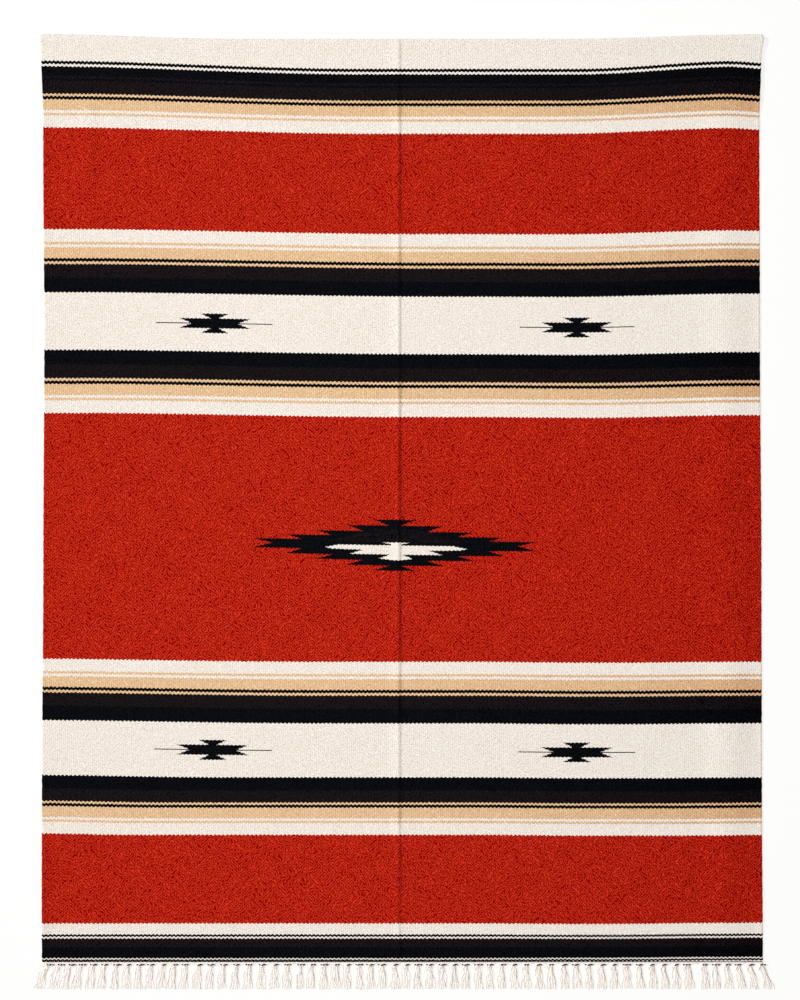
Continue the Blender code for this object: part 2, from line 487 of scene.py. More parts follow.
@dataclass(frozen=True)
class Motif:
    """A figure of steps, woven symmetrically about a middle warp.

    Attributes:
        u, v: its middle on the cloth.
        steps: its steps from the top down.
        above: how far its top lies over its middle.
    """

    u: float
    v: float
    above: float
    steps: tuple[Step, ...]

    def mask(self, bench: Bench, column: Wire, weft: Wire) -> Wire:
        """1 on the motif and 0 off it.

        Args:
            bench: where the nodes are made.
            column: how far across the middle of this warp lies.
            weft: how far along this float lies.

        Returns:
            The mask.
        """
        whole = sum(step.height for step in self.steps)
        widest = max(max(step.top, step.foot) for step in self.steps)
        hair = 0.0008
        stops = [(0.0, (0, 0, 0, 0))]
        down = 0.0
        for step in self.steps:
            stops.append((down / whole + hair, (0, 0, 0, step.top / widest)))
            down += step.height
            stops.append((down / whole - hair, (0, 0, 0, step.foot / widest)))
        stops.append((1.0, (0, 0, 0, 0)))
        share = (self.v + self.above - weft) / whole
        half_width = bench.ramp(share, stops, "Alpha", eased=True)
        return abs(column - self.u) < half_width * widest


def mirrored(steps: Sequence[Step]) -> tuple[Step, ...]:
    """These steps, then the same upside down."""
    back = tuple(Step(step.height, step.foot, step.top) for step in reversed(steps))
    return tuple(steps) + back


SMALL_STEPS = mirrored((Step(0.0103, 0.030, 0.0085), Step(0.0104, 0.076, 0.049)))
LARGE_STEPS = (
    Step(0.0130, 0.0465, 0.0120),
    Step(0.0125, 0.1020, 0.0680),
    Step(0.0100, 0.1670, 0.1320),
    Step(0.0093, 0.2320, 0.1980),
    Step(0.0093, 0.3030, 0.2610),
    Step(0.0108, 0.2610, 0.3030),
    Step(0.0108, 0.1980, 0.2340),
    Step(0.0108, 0.1320, 0.1720),
    Step(0.0108, 0.0680, 0.1075),
    Step(0.0108, 0.0120, 0.0450),
)
# The white figure inside the large one, and the brown wool above it
INNER_STEPS = (
    Step(0.0026, 0.029, 0.017),
    Step(0.0036, 0.011, 0.011),
    Step(0.0060, 0.122, 0.150),
    Step(0.0026, 0.150, 0.136),
    Step(0.0012, 0.136, 0.078),
    Step(0.0092, 0.069, 0.098),
    Step(0.0085, 0.012, 0.035),
    Step(0.0034, 0.035, 0.008),
)
BROWN_STEPS = (Step(0.0080, 0.040, 0.070), Step(0.0120, 0.080, 0.105), Step(0.0090, 0.115, 0.15))


@dataclass(frozen=True)
class StripedWool:
    """The cloth's finish: a weft-faced weave in the draft's bands, with its motifs, and with painted
    light and shade on its floats, its ribs, its crease and its right side.
    """

    warp_pitch: float = 0.00435
    pick: float = 0.00125
    swing: float = 0.00106
    warp_drift: float = 0.0016
    warp_drift_scale: float = 21.0
    pick_wander: float = 0.0016
    pick_wander_scale: float = 95.0
    strokes: float = 148.0
    bends: float = 1.8
    bend_scale: float = 140.0
    stroke_contrast: float = 3.3
    float_contrast: float = 0.20
    cloud_contrast: float = 0.12
    cloud_scale: float = 60.0
    slubs_across: float = 620.0
    slubs_along: float = 420.0
    float_height: float = 0.00034
    stroke_height: float = 0.0003
    cloud_height: float = 0.0005
    # Painted shade along the storage crease: its line, how far it reaches, and how dark it gets
    crease_at: float = -0.0047
    crease_painted_shade_reach: float = 0.0085
    crease_painted_shade: float = 0.19
    # Painted light falloff: darker from a little left of the middle towards the right, and more so
    # near the right selvedge
    painted_falloff_right: float = 0.19
    painted_falloff_edge: float = 0.75
    streak: float = 0.46
    roughness: float = 0.92
    specular: float = 0.02
    large: Motif = Motif(-0.0157, 0.8813, 0.0541, LARGE_STEPS)
    inner: Motif = Motif(-0.0136, 0.8811, 0.0053, INNER_STEPS)
    brown: Motif = Motif(-0.0157, 0.8813, 0.0340, BROWN_STEPS)
    small: tuple[Motif, ...] = rows_of(
        Motif,
        (-0.3992, 1.3478, 0.0207, SMALL_STEPS),
        (0.3716, 1.3462, 0.0207, SMALL_STEPS),
        (-0.4010, 0.4480, 0.0207, SMALL_STEPS),
        (0.3696, 0.4457, 0.0207, SMALL_STEPS),
    )
    pick_line_reach: float = 0.1235
    pick_line: float = 0.0010

    def band_dye(self, bench: Bench, weft: Wire) -> Wire:
        """Reads the draft, zone by zone.

        Args:
            bench: where the nodes are made.
            weft: how far along this float lies.

        Returns:
            The number of the band's dye there.
        """
        dye, start = Dye.WHITE.value, 0.0
        for zone in DRAFT:
            dye = bench.blend(weft > start, dye, zone.dye(bench, weft, start))
            start += zone.length()
        return dye

    def with_motifs(self, bench: Bench, dye: Wire, column: Wire, weft: Wire, v: Wire) -> Wire:
        """Weaves the motifs into the bands.

        Args:
            bench: where the nodes are made.
            dye: the number of the band's dye.
            column: how far across the middle of this warp lies.
            weft: how far along this float lies.
            v: the same without the float's own swing.

        Returns:
            The number of the dye there.
        """
        dye = bench.blend(self.large.mask(bench, column, weft), dye, Dye.BLUE_BLACK.value)
        streaks = bench.noise(column * 22, weft * 420, 1.0, 2.0) > self.streak
        brown = self.brown.mask(bench, column, weft) * streaks
        dye = bench.blend(brown, dye, Dye.BROWN_BLACK.value)
        dye = bench.blend(self.inner.mask(bench, column, weft), dye, Dye.WHITE.value)
        for motif in self.small:
            on = motif.mask(bench, column, weft)
            near = abs(column - motif.u) < self.pick_line_reach
            line = near * (abs(v - motif.v) < self.pick_line)
            dye = bench.blend(on.maths("MAXIMUM", on, line), dye, Dye.BLUE_BLACK.value)
        return dye

    def squiggles(self, bench: Bench, u: Wire, v: Wire) -> Wire:
        """Short slanting strokes of wool, that lean one way in some patches.

        Args:
            bench: where the nodes are made.
            u, v: the place on the cloth.

        Returns:
            The strokes, about 0.5.
        """
        bends = bench.noise(u, v, self.bend_scale, 1.0) * self.bends
        rising = ((u + v) * self.strokes + bends) * (2 * pi)
        falling = ((u - v) * self.strokes + bends) * (2 * pi)
        side = (bench.noise(u, v, 44, 2.0) - 0.5) * 7 + 0.5
        return bench.blend(side.kept(), rising.cosine(), falling.cosine()) * 0.5 + 0.5

    def make(self) -> Material:
        """Builds the node tree.

        Returns:
            The material.
        """
        bench = Bench("striped wool")
        u, v = bench.uv_map("cloth")
        drift = (bench.noise(u, v, self.warp_drift_scale, 1.0) - 0.5) * self.warp_drift
        warps = (u + drift) / self.warp_pitch
        nearest = (warps + 0.5).floor()
        column = nearest * self.warp_pitch
        wave = (warps * pi).cosine() * self.swing
        wander = (bench.noise(u, v, self.pick_wander_scale, 2.0) - 0.5) * self.pick_wander
        weft = v + wave + wander
        float_count = weft / (2 * self.pick)

        calm = v + wander * 0.5
        dye = self.with_motifs(bench, self.band_dye(bench, weft), column, calm + wave * 0.6, calm)
        half_step = Dye.BROWN_BLACK.value / 2
        edges = [max(dye_kind.value - half_step, 0.0) for dye_kind in YARNS]
        yarns = list(YARNS.values())
        shade = bench.ramp(dye, [(e, (*y.shade, 1)) for e, y in zip(edges, yarns)], "Color")
        glint = bench.ramp(dye, [(e, (*y.glint, 1)) for e, y in zip(edges, yarns)], "Color")
        shares = [(e, (y.squiggle, y.speck, y.painted_rib_shade, 1)) for e, y in zip(edges, yarns)]
        squiggle, speck, painted_rib_shade = bench.split(bench.ramp(dye, shares, "Color"))

        strokes = self.squiggles(bench, u, v)
        cloud = bench.noise(u, v, self.cloud_scale, 2.0)
        slubs = (bench.noise(u * self.slubs_across, v * self.slubs_along, 1.0, 1.0) - 0.52) * 6
        each_float = bench.out(
            "ShaderNodeTexWhiteNoise",
            {"noise_dimensions": "2D"},
            {"Vector": bench.place(nearest, float_count.floor())},
            "Value",
        )
        across = warps - nearest
        along = float_count.fraction() - 0.5
        rounded = 1 - across * across * 4
        plump = rounded * (1 - along * along * 4)
        uneven = (each_float + 0.5) * squiggle * self.stroke_contrast
        # The plump term is painted light and shade: each float lighter at its middle and darker in
        # the gaps between floats
        tone = 0.5 + (strokes - 0.5) * uneven + (plump - 0.45) * (0.2 + squiggle * 0.4)
        tone = tone + (cloud - 0.5) * self.cloud_contrast + (each_float - 0.5) * self.float_contrast
        # The last term is painted shade: each warp rib lighter along its middle and darker at its
        # sides
        tone = tone + (0.565 - slubs.kept()) * speck + (rounded - 0.66) * painted_rib_shade * 0.6
        # How much of the painted shade each yarn takes: less for tan, and for the whites it turns
        # into painted light
        painted_shade_share = 1 - speck * 1.6
        # Painted light falloff: red, tan and black yarns painted darker towards the right, whites
        # painted lighter there
        painted_falloff = (u + 0.1).kept() * self.painted_falloff_right + (u - 0.5).kept() * self.painted_falloff_edge
        tone = tone - painted_falloff * painted_shade_share
        # Painted shade along the crease: all but the white yarns are mixed towards black near its
        # line
        off_crease = abs(u - self.crease_at) / self.crease_painted_shade_reach
        painted_crease_shade = (1 - off_crease).kept() * painted_shade_share.kept() * self.crease_painted_shade
        tones = bench.blend_colours(tone.kept(), shade, glint)
        colour = bench.blend_colours(painted_crease_shade, tones, (0, 0, 0, 1))

        height = plump * self.float_height + (strokes - 0.5) * self.stroke_height
        height = height + (cloud - 0.5) * self.cloud_height
        return bench.matt(colour, self.roughness, self.specular, height)


@dataclass(frozen=True)
class UndyedWarp:
    """The finish of the heading, the knots and the loose warp ends: plied undyed yarn, with painted
    light on top of each yarn and painted shade under it and along its twist.
    """

    name: str = "undyed warp"
    # light is reached on the painted-lit top of a yarn, dark in the painted shade under it and in the
    # darker blots
    light: Colour = (0.96, 0.95, 0.93)
    dark: Colour = (0.72, 0.54, 0.40)
    turns_per_metre: float = 230.0
    roughness: float = 0.9
    specular: float = 0.15
    base_tone: float = 0.20
    top_light: float = 0.6
    twist_light: float = 0.1
    blot_contrast: float = 0.9
    twist_height: float = 0.00008
    blot_height: float = 0.0001

    def make(self) -> Material:
        """Builds the node tree.

        Returns:
            The material.
        """
        bench = Bench(self.name)
        around, along = bench.uv_map("yarn")
        twist = ((along * self.turns_per_metre + around) * (2 * pi)).cosine()
        # Painted light and shade: the top of each yarn lighter, its underside darker, and stripes
        # along its twist
        upward = ((around - 0.25) * (2 * pi)).cosine()
        blots = bench.noise(around * 2, along * 160, 1.0, 2.0)
        tone = self.base_tone + upward * self.top_light + twist * self.twist_light
        tone = tone + (blots - 0.5) * self.blot_contrast
        colour = bench.blend_colours(tone.kept(), (*self.dark, 1), (*self.light, 1))
        height = twist * self.twist_height + (blots - 0.5) * self.blot_height
        return bench.matt(colour, self.roughness, self.specular, height)


@dataclass(frozen=True)
class PaleFloor:
    """The studio floor: almost white, with only a little of the shadows."""

    glow: Colour = (0.805, 0.755, 0.695)
    albedo: Colour = (0.17, 0.215, 0.265)

    def make(self) -> Material:
        """Builds the node tree.

        Returns:
            The material.
        """
        bench = Bench("pale floor")
        glow = (*self.glow, 1)
        sockets = {"Base Color": (*self.albedo, 1)}
        sockets |= {"Roughness": 1.0, "Specular IOR Level": 0.0}
        sockets |= {"Emission Color": glow, "Emission Strength": 1.0}
        return bench.finish(bench.out("ShaderNodeBsdfPrincipled", {}, sockets))


@dataclass
class Grid:
    """Faces and maps of a mesh, gathered before it is made.

    Attributes:
        corners: where its vertices are.
        faces: its faces, as vertex numbers.
        maps: for each named map, the place of each face's corners in turn.
    """

    corners: list[Point] = field(default_factory=list)
    faces: list[tuple[int, ...]] = field(default_factory=list)
    maps: dict[str, list[tuple[float, float]]] = field(default_factory=dict)

    def add_face(
        self, numbers: Sequence[int], **places: Sequence[tuple[float, float]]
    ) -> None:
        """Adds one face.

        Args:
            numbers: its corners' numbers, in turn.
            places: for each map, the corners' places on it.
        """
        self.faces.append(tuple(numbers))
        for name, spots in places.items():
            self.maps.setdefault(name, []).extend(spots)

    def make(
        self, name: str, material: Material, origin: tuple[float, float] = PLAN_ORIGIN
    ) -> Piece:
        """Makes the smooth object, and puts it into the scene.

        Args:
            name: the object's name.
            material: its finish.
            origin: where x = y = 0 of its corners lies in the frame.

        Returns:
            The object.
        """
        mesh = bpy.data.meshes.new(name)
        corners = [(x + origin[0], y + origin[1], z) for x, y, z in self.corners]
        mesh.from_pydata(corners, [], self.faces)
        for map_name, spots in self.maps.items():
            layer = mesh.uv_layers.new(name=map_name)
            layer.data.foreach_set("uv", np.asarray(spots, dtype=np.float32).ravel())
        mesh.shade_smooth()
        mesh.materials.append(material)
        mesh.validate()
        return add_object(name, mesh)


@dataclass
class BlanketCloth:
    """The woven cloth: one web, with its far end turned under at a soft fold.

    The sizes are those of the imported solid, and the smaller waves are added to them.
    """

    width: float = 1.524
    shown_length: float = 1.957
    turned_under: float = 0.115
    wall: float = 0.003
    layer_gap: float = 0.0004
    fold_gap: float = 0.003
    fold_opening: float = 0.040
    step_down: float = 0.060
    step_clearance: float = 0.004
    under_inset: float = 0.003
    corner_rise: float = 0.010
    corner_rise_from: float = 0.45
    corner_round: float = 0.008
    corner_fall_left: float = 0.002
    corner_fall_right: float = 0.005
    crease_at: float = -0.0088
    crease_rise: float = 0.026
    crease_fall: float = 0.0085
    column_pitch: float = 0.0094
    row_pitch: float = 0.0094
    relief_fade: float = 0.05
    sag_from: float = 0.2
    sag_run: float = 0.3
    droop_from: float = 0.89
    droop_run: float = 0.16
    right_full: float = 0.96
    edge_rounding: float = 0.55
    cord_swell: float = 0.16
    cord_inset: float = 0.0035
    cord_reach: float = 0.0022
    bump_height: float = 0.00025
    bump_reach: float = 0.006
    bump_lengths: tuple[float, float] = (0.0310, 0.0187)
    selvedges: tuple[Selvedge, ...] = rows_of(
        Selvedge,
        (0.00, 0.0030, 0.0030), (0.18, 0.0030, 0.0010), (0.43, 0.0000, 0.0000),
        (0.66, -0.0020, -0.0030), (0.91, 0.0000, -0.0045), (0.98, 0.0040, -0.0010),
        (1.00, 0.0055, 0.0040),
    )
    crease_heights: tuple[CreaseHeight, ...] = rows_of(
        CreaseHeight,
        (0.00, 0.0014), (0.15, 0.0021), (0.38, 0.0025), (0.53, 0.0031), (0.72, 0.0024),
        (0.90, 0.0027), (1.00, 0.0018),
    )
    weft_bows: tuple[WeftBow, ...] = rows_of(
        WeftBow,
        (0.000, 0.0000, -0.75, -1.00, 0.0022, 0.55, -0.0008, 0.0),
        (0.042, 0.0000, -0.75, -1.00, 0.0028, 0.55, 0.0013, 0.0),
        (0.138, 0.0030, -0.75, -1.00, 0.0014, 0.78, 0.0017, 0.0),
        (0.262, 0.0075, -0.22, -1.12, 0.0024, 0.60, 0.0020, 0.0),
        (0.329, 0.0073, -0.25, -1.15, 0.0019, 0.60, 0.0019, 0.0),
        (0.450, 0.0135, 0.33, -0.95, 0.0030, 0.52, 0.0004, 0.0),
        (0.595, 0.0087, 0.00, -0.92, 0.0055, 0.54, 0.0015, 0.0),
        (0.663, 0.0098, 0.10, -0.98, 0.0060, 0.48, 0.0014, 0.0),
        (0.726, 0.0098, 0.12, -0.98, 0.0070, 0.43, 0.0007, 0.0),
        (0.902, 0.0139, -0.08, -1.00, 0.0124, 0.42, 0.0000, 0.0052),
        (0.972, 0.0180, -0.10, -1.04, 0.0175, 0.485, 0.0000, 0.0070),
    )
    puckers: tuple[Pucker, ...] = rows_of(
        Pucker,
        # Short pulls at the left selvedge
        ((-0.766, 1.128), (-0.655, 1.094), 0.013, 0.0011),
        ((-0.766, 1.043), (-0.640, 1.021), 0.015, 0.0012),
        ((-0.766, 0.962), (-0.690, 0.994), 0.012, 0.0009),
        ((-0.766, 0.889), (-0.662, 0.852), 0.014, 0.0011),
        ((-0.766, 0.786), (-0.625, 0.768), 0.016, 0.0012),
        ((-0.766, 0.700), (-0.672, 0.714), 0.013, 0.0009),
        # Lengthwise waves at the left end of the first and last red bands
        ((-0.668, 1.800), (-0.672, 1.580), 0.034, 0.0031),
        ((-0.612, 1.790), (-0.604, 1.625), 0.026, 0.0008),
        ((-0.767, 1.780), (-0.765, 1.540), 0.032, 0.0030),
        ((-0.767, 0.250), (-0.765, 0.055), 0.034, 0.0034),
        # The right side lifts a little and falls to its selvedge
        ((0.694, 1.860), (0.686, 1.450), 0.066, 0.0032),
        ((0.692, 1.480), (0.684, 0.980), 0.062, 0.0028),
        ((0.684, 1.010), (0.698, 0.520), 0.066, 0.0032),
        ((0.694, 0.560), (0.684, 0.040), 0.063, 0.0032),
        # Long low waves where it was folded and shaken out
        ((-0.352, 1.690), (-0.246, 1.560), 0.040, 0.0010),
        ((0.205, 1.735), (0.330, 1.590), 0.045, 0.0011),
        ((-0.520, 1.190), (-0.330, 0.950), 0.050, 0.0011),
        ((0.150, 1.120), (0.420, 0.960), 0.048, 0.0011),
        ((-0.250, 0.760), (-0.120, 0.655), 0.040, 0.0009),
        ((0.300, 0.800), (0.520, 0.640), 0.050, 0.0011),
        ((-0.600, 0.590), (-0.430, 0.660), 0.038, 0.0009),
        ((0.110, 0.240), (0.360, 0.150), 0.042, 0.0009),
        ((-0.480, 0.250), (-0.250, 0.120), 0.045, 0.0010),
        # Where the border's close beat starts
        ((-0.700, 0.108), (0.050, 0.104), 0.015, 0.0007),
        ((0.060, 0.106), (0.640, 0.110), 0.015, 0.0008),
    )

    def fold_at(self, u: Array) -> Array:
        """Where the fold lies: it rises towards the corners, and rounds off at each of them.

        Args:
            u: places across.

        Returns:
            How far along the fold lies there.
        """
        half = self.width / 2
        share = np.abs(u) / half
        rise = smooth_step((share - self.corner_rise_from) / (1 - self.corner_rise_from))
        fall = np.where(u < 0, self.corner_fall_left, self.corner_fall_right)
        near = np.maximum(0.0, 1 - (half - np.abs(u)) / self.corner_round)
        return self.shown_length + self.corner_rise * rise - fall * near * near

    def crease_height(self, u: Array, along: Array) -> Array:
        """How high the storage crease lifts the cloth: a hollow slope up, and a short one down.

        Args:
            u: places across.
            along: the same places' share of the shown length.

        Returns:
            The height at each.
        """
        off = u - self.crease_at
        up = np.clip(1 + off / self.crease_rise, 0, 1) ** 2
        down = 1 - smooth_step(off / self.crease_fall)
        return read_rows(self.crease_heights, "along", "height", along) * np.minimum(up, down)

    def relief(self, u: Array, y: Array) -> Array:
        """How high the puckers lift the cloth, faded out before the fold.

        Args:
            u, y: places across and along.

        Returns:
            The height at each.
        """
        height = np.zeros(np.broadcast(u, y).shape)
        for pucker in self.puckers:
            (x0, y0), (x1, y1) = pucker.start, pucker.end
            run = np.array([x1 - x0, y1 - y0])
            share = ((u - x0) * run[0] + (y - y0) * run[1]) / (run @ run)
            held = np.clip(share, 0.0, 1.0)
            off = np.hypot(u - x0 - held * run[0], y - y0 - held * run[1]) / pucker.reach
            ridge = np.where(off < 1, (1 + np.cos(pi * np.minimum(off, 1))) / 2, 0.0)
            height += pucker.height * ridge * (0.55 + 0.45 * np.sin(pi * held))
        fade = self.shown_length - self.turned_under
        return height * (1 - smooth_step((y - fade) / self.relief_fade))

    def weft_bow(self, u: Array, y: Array) -> Array:
        """How far the weft that lies here has bowed towards the fold.

        Args:
            u, y: places across and along.

        Returns:
            The bow at each.
        """
        along = y / self.shown_length
        share = u / (self.width / 2)
        reads = [
            read_rows(self.weft_bows, "along", name, along)
            for name in ("left", "left_from", "left_full", "right", "right_from", "sag", "droop")
        ]
        left, left_from, left_full, right, right_from, sag, droop = reads
        bow = left * smooth_step((left_from - share) / (left_from - left_full))
        sagged = sag * smooth_step((share - self.sag_from) / self.sag_run)
        bow -= sagged + droop * smooth_step((share - self.droop_from) / self.droop_run)
        return bow + right * smooth_step((share - right_from) / (self.right_full - right_from))

    def columns(self) -> Array:
        """Places the lengthwise lines, close together at the crease and the selvedges.

        Returns:
            How far across each lies.
        """
        edge = self.width / 2
        left_foot = self.crease_at - self.crease_rise
        right_foot = self.crease_at + self.crease_fall
        hems = [0.0, 0.0002, 0.0007, 0.0016, 0.0035, 0.0060, 0.0100]
        left = [hem - edge for hem in hems]
        right = [edge - hem for hem in reversed(hems)]
        side = edge - hems[-1]
        left += stretches(-side, left_foot, round((side + left_foot) / self.column_pitch))
        left += stretches(left_foot, self.crease_at, 8)
        left += stretches(self.crease_at, right_foot, 8)
        left += stretches(right_foot, side, round((side - right_foot) / self.column_pitch))
        return np.array(left[:-1] + right)

    def middle_line(self, u: Array) -> tuple[Array, Array]:
        """The wall's middle from the fringed end, round the fold, to the turned-under edge.

        Args:
            u: the columns.

        Returns:
            y and z, each with a row for every crosswise line and a column for every u.
        """
        fold = self.fold_at(u)
        under_edge = fold - self.turned_under
        step_end = under_edge - self.step_clearance
        step_start = step_end - self.step_down
        crease_at_fold = self.crease_height(u, np.ones_like(u))
        bend = (self.wall + self.fold_gap + crease_at_fold) / 2
        bend_start = fold - self.wall / 2 - bend
        opening_start = bend_start - self.fold_opening

        face_count = round((self.shown_length - 0.2) / self.row_pitch)
        shares = [0.0, 0.0003, 0.0008] + stretches(0.0008, 1.0, face_count)
        rows = [step_start * share for share in shares]
        for start, end, count in (
            (step_start, step_end, 8),
            (step_end, opening_start, 6),
            (opening_start, bend_start, 6),
        ):
            rows += [start + (end - start) * share for share in stretches(0.0, 1.0, count)]
        y = np.array(rows)
        lift = (self.wall + self.layer_gap) * smooth_step((y - step_start) / self.step_down)
        lift += (self.fold_gap - self.layer_gap) * smooth_step(
            (y - opening_start) / self.fold_opening
        )
        z = self.wall / 2 + lift + self.crease_height(u, y / fold) + self.relief(u, y)

        turns = np.array(stretches(0.0, pi, 14))[:, None]
        y_bend = bend_start + bend * np.sin(turns)
        z_bend = self.wall / 2 + bend * (1 + np.cos(turns))
        shares = np.array(stretches(0.0, 1.0, 11) + [1.004, 1.0055])[:, None] / 1.0055
        y_under = bend_start + (under_edge - bend_start) * shares
        z_under = np.full_like(y_under, self.wall / 2)
        return np.vstack((y, y_bend, y_under)), np.vstack((z, z_bend, z_under))

    def thickness_share(self, u: Array, run: Array) -> Array:
        """How much of its half thickness the wall has: its four edges are rounded.

        Args:
            u: the columns.
            run: how far along the cloth each point lies.

        Returns:
            The share at each point.
        """
        to_edge = self.width / 2 - np.abs(u)
        to_end = np.minimum(run, run[-1] - run)
        rounded = [
            np.sqrt(1 - (1 - np.clip(gap / (self.wall * self.edge_rounding), 0, 1)) ** 2)
            for gap in (to_edge, to_end)
        ]
        cord = self.cord_swell * np.exp(-(((to_edge - self.cord_inset) / self.cord_reach) ** 2))
        return (rounded[0] + cord * rounded[0]) * rounded[1]

    def sideways(self, u: Array, y: Array, under: Array) -> Array:
        """Where each point lies across, with the selvedges' own lines and their small bumps.

        Args:
            u: the columns.
            y: how far along each point lies.
            under: the share of the way from the fold to the turned-under edge.

        Returns:
            The points' x.
        """
        half = self.width / 2
        along = np.clip(y / self.fold_at(u), 0.0, 1.0)
        left = read_rows(self.selvedges, "along", "left", along)
        right = read_rows(self.selvedges, "along", "right", along)
        shift = np.where(u < 0, left, right) - self.under_inset * under
        near = np.exp(-(half - np.abs(u)) / self.bump_reach)
        long, short = self.bump_lengths
        bumps = np.sin(y * 2 * pi / long + np.sign(u)) + np.sin(y * 2 * pi / short + 2 * u)
        return u + (shift * np.abs(u) / half + self.bump_height * bumps * near) * np.sign(u)

    def make(self, material: Material) -> Piece:
        """Builds both skins, joined where the wall thins to nothing at its edges.

        Args:
            material: the cloth's finish.

        Returns:
            The cloth.
        """
        u = self.columns()
        y, z = self.middle_line(u)
        gaps = np.hypot(np.diff(y, axis=0), np.diff(z, axis=0))
        run = np.vstack((np.zeros_like(u), np.cumsum(gaps, axis=0)))
        half = self.wall / 2 * self.thickness_share(u, run)
        dy, dz = np.gradient(y, axis=0), np.gradient(z, axis=0)
        length = np.hypot(dy, dz)
        past_fold = run - (run[-1] - self.turned_under)
        under = smooth_step(past_fold / self.turned_under)
        x = self.sideways(u, y, under)
        bowed = run.copy()
        for _ in range(3):
            bowed = run - self.weft_bow(u, bowed)

        rows, columns = y.shape
        grid = Grid()
        numbers = np.zeros((2, rows, columns), dtype=int)
        for skin, side in enumerate((1, -1)):
            for i in range(rows):
                for j in range(columns):
                    edge = i in (0, rows - 1) or j in (0, columns - 1)
                    if skin and edge:
                        numbers[1, i, j] = numbers[0, i, j]
                        continue
                    numbers[skin, i, j] = len(grid.corners)
                    outward = dy[i, j] * side > 0
                    depth = half[i, j] if outward else min(half[i, j], self.wall / 2)
                    ny = -dz[i, j] / length[i, j] * depth * side
                    nz = dy[i, j] / length[i, j] * depth * side
                    grid.corners.append((x[i, j], y[i, j] + ny, z[i, j] + nz))
        bake_u = (u - u[0]) / (u[-1] - u[0])
        bake_v = run / run.max()
        for skin, (start, share) in enumerate(((0.002, 0.616), (0.630, 0.368))):
            for i in range(rows - 1):
                for j in range(columns - 1):
                    ring = [(i, j), (i, j + 1), (i + 1, j + 1), (i + 1, j)]
                    if skin:
                        ring.reverse()
                    grid.add_face(
                        [numbers[skin, a, b] for a, b in ring],
                        cloth=[(u[b], bowed[a, b]) for a, b in ring],
                        OFBake=[
                            (start + share * bake_u[b], 0.002 + 0.996 * bake_v[a, b])
                            for a, b in ring
                        ],
                    )
        return grid.make("striped_cloth", material)


@dataclass
class TubeSet:
    """Many bent tubes of yarn in one mesh."""

    sides: int = 6
    grid: Grid = field(default_factory=Grid)
    cells_across: int = 30
    margin: float = 0.06
    seed_step: float = 0.37
    count: int = 0

    def add(self, path: Array, radii: Sequence[float], flatness: float = 1.0) -> None:
        """Adds one closed tube.

        Args:
            path: its middle points, one row each.
            radii: its radius at each of them.
            flatness: its height over its width.
        """
        path = np.asarray(path, dtype=float)
        ways = np.gradient(path, axis=0)
        ways /= np.linalg.norm(ways, axis=1)[:, None]
        across = np.cross(ways, (0.0, 0.0, 1.0))
        across /= np.linalg.norm(across, axis=1)[:, None]
        upward = np.cross(across, ways)
        gaps = np.linalg.norm(np.diff(path, axis=0), axis=1)
        along = np.concatenate(([0.0], np.cumsum(gaps)))
        first = len(self.grid.corners)
        for middle, a, b, radius in zip(path, across, upward, radii):
            for k in range(self.sides):
                turn = 2 * pi * k / self.sides
                spot = middle + radius * (a * cos(turn) + b * sin(turn) * flatness)
                self.grid.corners.append(tuple(spot))
        row, column = divmod(self.count, self.cells_across)
        seed = self.count * self.seed_step
        self.count += 1

        def in_cell(number: int, share: float) -> float:
            """A place on the bake map, inside the margins of this tube's cell."""
            return (number + self.margin + (1 - 2 * self.margin) * share) / self.cells_across

        def add_face(corners: Sequence[tuple[int, int]]) -> None:
            """Adds one face.

            Args:
                corners: the ring and the side that each corner lies at.
            """
            self.grid.add_face(
                [first + i * self.sides + k % self.sides for i, k in corners],
                yarn=[(k / self.sides, along[i] + seed) for i, k in corners],
                OFBake=[
                    (in_cell(column, k / self.sides), in_cell(row, along[i] / along[-1]))
                    for i, k in corners
                ],
            )

        for i in range(len(path) - 1):
            for k in range(self.sides):
                add_face([(i + 1, k), (i + 1, k + 1), (i, k + 1), (i, k)])
        last = len(path) - 1
        add_face([(0, k) for k in range(self.sides)])
        add_face([(last, k) for k in reversed(range(self.sides))])


def curve_through(points: Sequence[Point], count: int) -> Array:
    """A smooth curve through some points.

    Args:
        points: the points to pass through.
        count: how many points to read from the curve.

    Returns:
        The curve's points, one row each.
    """
    knots = np.asarray(points, dtype=float)
    padded = np.vstack((2 * knots[0] - knots[1], knots, 2 * knots[-1] - knots[-2]))
    places = np.linspace(0, len(knots) - 1, count)
    before = np.minimum(places.astype(int), len(knots) - 2)
    t = (places - before)[:, None]
    p0, p1, p2, p3 = (padded[before + k] for k in range(4))
    curve = 2 * p1 + (p2 - p0) * t + (2 * p0 - 5 * p1 + 4 * p2 - p3) * t**2
    return 0.5 * (curve + (3 * p1 - p0 - 3 * p2 + p3) * t**3)


